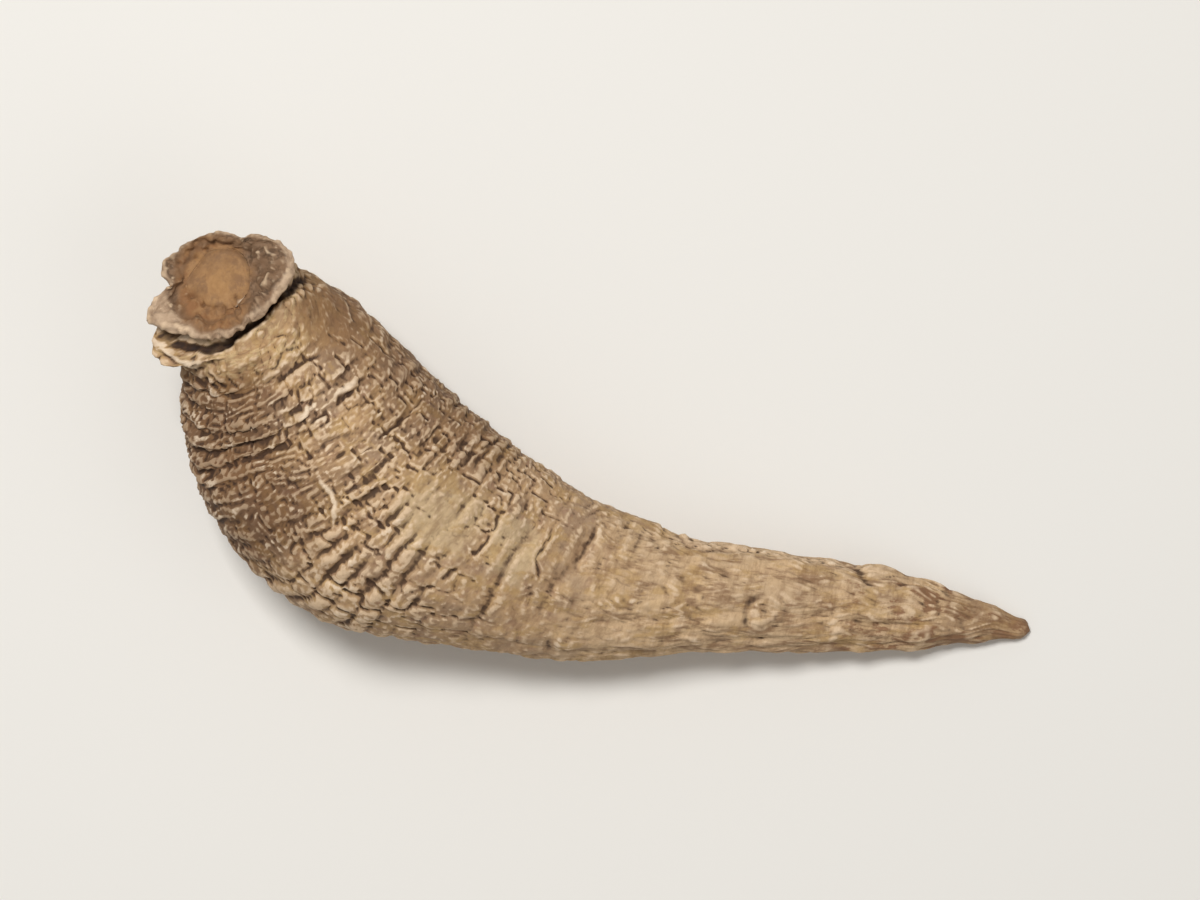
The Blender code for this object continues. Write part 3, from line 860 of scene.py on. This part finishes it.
def sphere_of_rows(name, points, values):
    """A closed mesh from a sphere whose rows and columns are moved to the points, with the values."""
    rows, columns = points.shape[0] - 1, points.shape[1]
    mesh = bpy.data.meshes.new(name)
    bm = bmesh.new()
    bmesh.ops.create_uvsphere(bm, u_segments=columns, v_segments=rows, radius=1.0)
    bm.verts.ensure_lookup_table()
    sphere = np.array([vertex.co for vertex in bm.verts])
    row = np.rint(np.arccos(np.clip(sphere[:, 2], -1, 1)) / math.pi * rows).astype(int)
    turn = np.arctan2(sphere[:, 1], sphere[:, 0]) / (2 * math.pi)
    column = np.rint(turn * columns).astype(int) % columns
    points = points.copy()
    for pole in (0, rows):
        points[pole] = points[pole].mean(0)
    bmesh.ops.reverse_faces(bm, faces=bm.faces)
    bm.to_mesh(mesh)
    bm.free()
    mesh.vertices.foreach_set("co", (points[row, column] * MM).ravel())
    for label, value in values.items():
        vector = value.ndim == 3
        layer = mesh.attributes.new(label, "FLOAT_VECTOR" if vector else "FLOAT", "POINT")
        layer.data.foreach_set("vector" if vector else "value", value[row, column].ravel())
    mesh.shade_smooth()
    mesh.update()
    return mesh


def colour(red, green, blue):
    """A linear colour from 0 to 255 screen values."""
    shares = [value / 255 for value in (red, green, blue)]
    linear = [c / 12.92 if c <= 0.04045 else ((c + 0.055) / 1.055) ** 2.4 for c in shares]
    return (*linear, 1.0)


TAN = colour(186, 152, 114)
GREY_TAN = colour(160, 132, 104)
YELLOW_TAN = colour(196, 160, 112)
OLIVE_TAN = colour(184, 150, 100)
OCHRE_TAN = colour(172, 134, 92)
PINK_BROWN = colour(158, 122, 98)
BROWN = colour(126, 94, 66)
# DARK paints shade in the creases, the cracks and under the rim; PALE also paints highlights on the
# crests
DARK = colour(54, 35, 24)
# painted shadow in the slot under the rim
SLOT_DARK = colour(38, 24, 19)
PALE = colour(220, 192, 158)
# BRIGHT paints highlights on the crests, and pales the raised folds partly as painted highlight
BRIGHT = colour(238, 218, 192)
PATCH_PALE = colour(206, 182, 142)
SHOULDER_PALE = colour(208, 180, 134)
TAIL_PALE = colour(222, 192, 152)
TAIL_BROWN = colour(132, 94, 66)
# painted shade, multiplied over the flanks
FLANK_SHADE = (0.32, 0.23, 0.17, 1.0)  # linear, as it is multiplied
OCHRE = colour(154, 115, 76)
YELLOW_OCHRE = colour(176, 136, 90)
CORE_OCHRE = colour(168, 127, 81)
ORANGE_BROWN = colour(140, 98, 62)
LIP_PALE = colour(197, 170, 142)
RIM_GREY = colour(130, 103, 79)
RIM_DARK = colour(88, 68, 51)
WALL_BROWN = colour(104, 78, 56)
FLOOR_GREY = colour(226, 223, 217)

# Patterns of noise that spread the colours, each: scale, stretch along the root and round it, detail
# and roughness, the noise values between which it changes, and its strength before and after
EVEN = (1, 1, 1)
GRAIN = (3.2, (1.3, 0.7, 0.7), 6, 0.7)
FLECKS = (1.5, EVEN, 5, 0.7)
PATTERNS = {
    "grey": (0.28, EVEN, 4, 0.55, 0.4, 0.62, 0, 1),
    "yellow": (0.55, (0.8, 1, 1), 4, 0.55, 0.5, 0.68, 0, 0.7),
    "pink": (0.8, (1.3, 0.7, 0.7), 4, 0.55, 0.52, 0.7, 0, 0.6),
    "strands": (0.9, (0.35, 1.5, 1.5), 5, 0.65, 0.48, 0.62, 0, 0.7),
    "blotches": (0.8, (0.6, 1.3, 1.3), 5, 0.65, 0.5, 0.58, 0, 0.9),
    "olive": (0.6, (0.5, 1.2, 1.2), 5, 0.65, 0.5, 0.62, 0, 0.7),
    "mottles": (1.5, EVEN, 4, 0.55, 0.5, 0.58, 0, 0.8),
    "rim": (2.2, EVEN, 5, 0.7, 0.42, 0.56, 0, 1),
    "lip_flecks": (*FLECKS, 0.4, 0.62, 0.95, 0.45),
    "edge_flecks": (*FLECKS, 0.35, 0.6, 0.3, 0.85),
    "scar_flecks": (*FLECKS, 0.4, 0.62, 0, 1),
    "scar_stains": (1.1, EVEN, 6, 0.7, 0.45, 0.6, 0, 0.75),
    # where the painted highlight on the disc's middle falls
    "core_patches": (0.9, EVEN, 5, 0.65, 0.42, 0.58, 0.3, 1),
    "streaks": (1.0, (1.6, 0.5, 0.5), 5, 0.65, 0.45, 0.68, 0, 0.45),
    # where the painted highlights fall on the crests
    "highlight_specks": (0.55, EVEN, 4, 0.65, 0.52, 0.62, 0, 0.6),
    "grain": (*GRAIN, 0.35, 0.75, 0, 0.3),
    "roughness": (*GRAIN, 0.3, 0.7, 0.7, 0.9),
}
GRAIN_HEIGHT = (2.2, (1.6, 0.6, 0.6), 7, 0.65)
BUMP = (0.6, 0.12 * MM)  # strength and distance
SPECULAR = 0.3

# Zones that take on a colour: the zone's value where it starts, its strength where the zone is 1
TINTS = {
    # paler patch: partly its own skin, partly painted light
    "patch": (0, 0.6, PATCH_PALE),
    "shoulder": (0, 0.35, YELLOW_TAN),
    # paler tail: partly its own skin, partly painted light
    "tail": (0, 0.5, TAIL_PALE),
    "bare": (0, 0.5, OCHRE_TAN),
    "edge": (0.1, 0.5, PALE),
    "disc": (0, 0.45, YELLOW_OCHRE),
    "wall": (0, 0.65, WALL_BROWN),
    # painted shadow under the rim
    "neck": (0, 0.8, DARK),
    "tip": (0, 0.45, BROWN),
    # the folds' paling is partly their own pale skin, partly painted highlight
    "welt": (0.3, 0.7, BRIGHT),
    # painted shade in the cracks, with the darker pits and rootlet outline
    "crack": (0.3, 0.65, DARK),
    # painted shadow in the slot
    "slot": (0.3, 0.9, SLOT_DARK),
}
# Values between which these change, and their strength before and after
FOLD_RANGE = (0.1, 0.7)
# CORE_RANGE: strength of the painted highlight on the disc's middle
CORE_RANGE = (0, 1, 0, 0.8)
# FLANK_RANGE and DULL_CREST_RANGE: how strong the painted shade on the flanks is, and how much it dulls
# the painted crest highlights there
FLANK_RANGE = (0, 1, 0, 0.86)
DULL_CREST_RANGE = (0, 1, 0, 0.55)
# painted highlights on the crests (CREST_RANGE, SPECK_RANGE) and painted shade in the creases
# (CREASE_RANGE, WIDE_CREASE_RANGE)
CREST_RANGE = (-0.004, -0.045, 0, 0.85)
SPECK_RANGE = (-0.015, -0.07)
FACE_SPECK_RANGE = (0, 1, 1, 0.3)
CREASE_RANGE = (0.004, 0.075, 0, 0.88)
WIDE_CREASE_RANGE = (0.01, 0.2, 0, 0.5)


class Shader:
    """Adds nodes to a material: inputs are numbers, colours or other nodes' outputs."""

    def __init__(self, name):
        self.material = bpy.data.materials.new(name)
        self.material.use_nodes = True
        self.tree = self.material.node_tree
        self.surface = self.tree.nodes["Principled BSDF"]
        self.noises = {}

    def fill(self, node, inputs):
        for key, value in inputs.items():
            if isinstance(value, bpy.types.NodeSocket):
                self.tree.links.new(value, node.inputs[key])
            else:
                node.inputs[key].default_value = value

    def add(self, kind, inputs, output=0, **settings):
        node = self.tree.nodes.new("ShaderNode" + kind)
        for key, value in settings.items():
            setattr(node, key, value)
        self.fill(node, inputs)
        return node.outputs[output]

    def attribute(self, name, vector=False):
        return self.add("Attribute", {}, "Vector" if vector else "Fac", attribute_name=name)

    def ranged(self, value, low, high, start=0.0, end=1.0):
        inputs = {"Value": value, "From Min": low, "From Max": high, "To Min": start, "To Max": end}
        return self.add("MapRange", inputs, interpolation_type="SMOOTHSTEP")

    def noise(self, place, scale, stretch, detail, rough):
        """Noise over the skin, from one node for each set of values."""
        key = (scale, stretch, detail, rough)
        if key not in self.noises:
            moved = self.add("Mapping", {"Vector": place, "Scale": stretch})
            inputs = {"Vector": moved, "Scale": scale, "Detail": detail, "Roughness": rough}
            self.noises[key] = self.add("TexNoise", inputs)
        return self.noises[key]

    def pattern(self, place, name):
        """A pattern of the table."""
        *values, low, high, start, end = PATTERNS[name]
        return self.ranged(self.noise(place, *values), low, high, start, end)

    def mixed(self, share, first, second, blend="MIX"):
        """Two colours mixed. A mix node's colours are its inputs 6 and 7, and its output 2."""
        return self.add("Mix", {0: share, 6: first, 7: second}, 2, data_type="RGBA", blend_type=blend)

    def multiplied(self, first, second):
        return self.add("Math", {0: first, 1: second}, operation="MULTIPLY")

    def tinted(self, base, zone):
        """The base with a zone's colour over it."""
        low, strength, tint = TINTS[zone]
        return self.mixed(self.ranged(self.attribute(zone), low, 1, 0, strength), base, tint)


def ground_colour(s, place):
    """Mottled tan, with the colours of the body's and the tail's own parts; the pale patch and tail
    tints are partly painted light.
    """
    base = s.mixed(s.pattern(place, "grey"), TAN, GREY_TAN)
    base = s.mixed(s.pattern(place, "yellow"), base, YELLOW_TAN)
    base = s.mixed(s.pattern(place, "pink"), base, PINK_BROWN)
    # the patch and tail tints are partly painted light
    for zone in ("patch", "shoulder", "tail"):
        base = s.tinted(base, zone)
    base = s.mixed(s.multiplied(s.pattern(place, "strands"), s.attribute("tail")), base, BROWN)
    base = s.mixed(s.multiplied(s.pattern(place, "blotches"), s.attribute("far")), base, TAIL_BROWN)
    base = s.mixed(s.pattern(place, "olive"), base, OLIVE_TAN)
    mottles = s.multiplied(s.pattern(place, "mottles"), s.attribute("shoulder"))
    base = s.mixed(mottles, base, SHOULDER_PALE)
    for zone in ("bare", "edge"):
        base = s.tinted(base, zone)
    return base


def crown_colour(s, place):
    """Ochre on the scar, and grey-brown on its rim, pale at the torn edge and on the lip."""
    rim = s.mixed(s.pattern(place, "rim"), RIM_DARK, RIM_GREY)
    lip = s.multiplied(s.ranged(s.attribute("lip"), *FOLD_RANGE), s.pattern(place, "lip_flecks"))
    rim = s.mixed(lip, rim, LIP_PALE)
    edge = s.multiplied(s.attribute("rim_edge"), s.pattern(place, "edge_flecks"))
    rim = s.mixed(edge, rim, LIP_PALE)
    scar = s.mixed(s.pattern(place, "scar_flecks"), OCHRE, ORANGE_BROWN)
    scar = s.tinted(scar, "disc")
    scar = s.mixed(s.pattern(place, "scar_stains"), scar, BROWN)
    # painted highlight: the disc's middle is brighter, in patches
    core = s.multiplied(s.ranged(s.attribute("core"), *CORE_RANGE), s.pattern(place, "core_patches"))
    scar = s.mixed(core, scar, CORE_OCHRE)
    return s.mixed(s.attribute("ochre"), rim, scar)


def creased_colour(s, place, base):
    """The base, darker on the flanks and in creases and paler on crests: painted shade and painted
    highlights.
    """
    hollow, shade = s.attribute("hollow"), s.attribute("shade")
    base = s.mixed(s.pattern(place, "streaks"), base, BROWN)
    # painted shade on the flanks, with weaker painted highlights on their crests
    base = s.mixed(s.ranged(shade, *FLANK_RANGE), base, FLANK_SHADE, "MULTIPLY")
    bright = s.add("Math", {0: 1.0, 1: s.ranged(shade, *DULL_CREST_RANGE)}, operation="SUBTRACT")
    # painted highlights on the crests, and painted shade in the wide and the narrow creases
    base = s.mixed(s.multiplied(bright, s.ranged(hollow, *CREST_RANGE)), base, PALE)
    base = s.mixed(s.ranged(s.attribute("wide_hollow"), *WIDE_CREASE_RANGE), base, BROWN)
    base = s.mixed(s.ranged(hollow, *CREASE_RANGE), base, DARK)
    # painted highlights: near-white specks on the highest crests, fewer on the scar's face
    highlight_specks = s.multiplied(s.pattern(place, "highlight_specks"), s.ranged(s.attribute("face"), *FACE_SPECK_RANGE))
    base = s.mixed(s.multiplied(highlight_specks, s.ranged(hollow, *SPECK_RANGE)), base, BRIGHT)
    # over these: the folds' pale tint, partly painted highlight; painted shade in the cracks; painted
    # shadow in the slot
    for zone in ("welt", "crack", "slot"):
        base = s.tinted(base, zone)
    return s.mixed(s.pattern(place, "grain"), base, BROWN)


def root_skin():
    """Dry, dull skin: mottled tan, with painted highlights on the crests and painted shade in the
    creases.
    """
    s = Shader("dried_root_skin")
    place = s.attribute("skin_place", vector=True)
    base = s.mixed(s.attribute("face"), ground_colour(s, place), crown_colour(s, place))
    # the neck's dark tint is painted shadow under the rim
    for zone in ("wall", "neck", "tip"):
        base = s.tinted(base, zone)
    base = creased_colour(s, place, base)
    strength, distance = BUMP
    grain = {"Height": s.noise(place, *GRAIN_HEIGHT), "Strength": strength, "Distance": distance}
    s.fill(s.surface, {"Base Color": base, "Normal": s.add("Bump", grain)})
    s.fill(s.surface, {"Roughness": s.pattern(place, "roughness"), "Specular IOR Level": SPECULAR})
    return s.material


def add_root():
    points, values = skin()
    mesh = sphere_of_rows("root_skin", points, values)
    mesh.materials.append(root_skin())
    root = bpy.data.objects.new("root_skin", mesh)
    bpy.context.scene.collection.objects.link(root)
    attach(root, "root")
    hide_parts("ginseng_root")


def add_floor():
    bpy.ops.mesh.primitive_plane_add(size=3.0)
    floor = bpy.context.object
    floor.name = "floor"
    s = Shader("plain_floor")
    s.fill(s.surface, {"Base Color": FLOOR_GREY, "Roughness": 0.9})
    floor.data.materials.append(s.material)


def add_light(name, place, size, power):
    """A square soft light that faces the root, at a place in metres."""
    data = bpy.data.lights.new(name, "AREA")
    data.size = size
    data.energy = power
    light = bpy.data.objects.new(name, data)
    light.location = place
    light.rotation_euler = (-Vector(place)).to_track_quat("-Z", "Y").to_euler()
    bpy.context.scene.collection.objects.link(light)


def add_camera(lens, height):
    """Straight above at a height in metres, as in the photograph, with the root across the frame."""
    data = bpy.data.cameras.new("camera")
    data.lens = lens
    data.clip_start = 0.01
    camera = bpy.data.objects.new("camera", data)
    camera.location = (0.0, 0.0, height)
    bpy.context.scene.collection.objects.link(camera)
    bpy.context.scene.camera = camera


def add_studio():
    world = bpy.data.worlds.new("studio")
    world.use_nodes = True
    background = world.node_tree.nodes["Background"]
    background.inputs["Color"].default_value = (1.0, 0.98, 0.95, 1.0)
    background.inputs["Strength"].default_value = 0.30
    bpy.context.scene.world = world
    add_light("key", (-0.08, 0.12, 0.37), size=0.10, power=1.25)
    add_light("fill", (0.26, -0.20, 0.30), size=0.40, power=0.30)
    bpy.context.scene.view_settings.view_transform = "Standard"


add_root()
add_floor()
add_camera(lens=120.0, height=0.29)
add_studio()
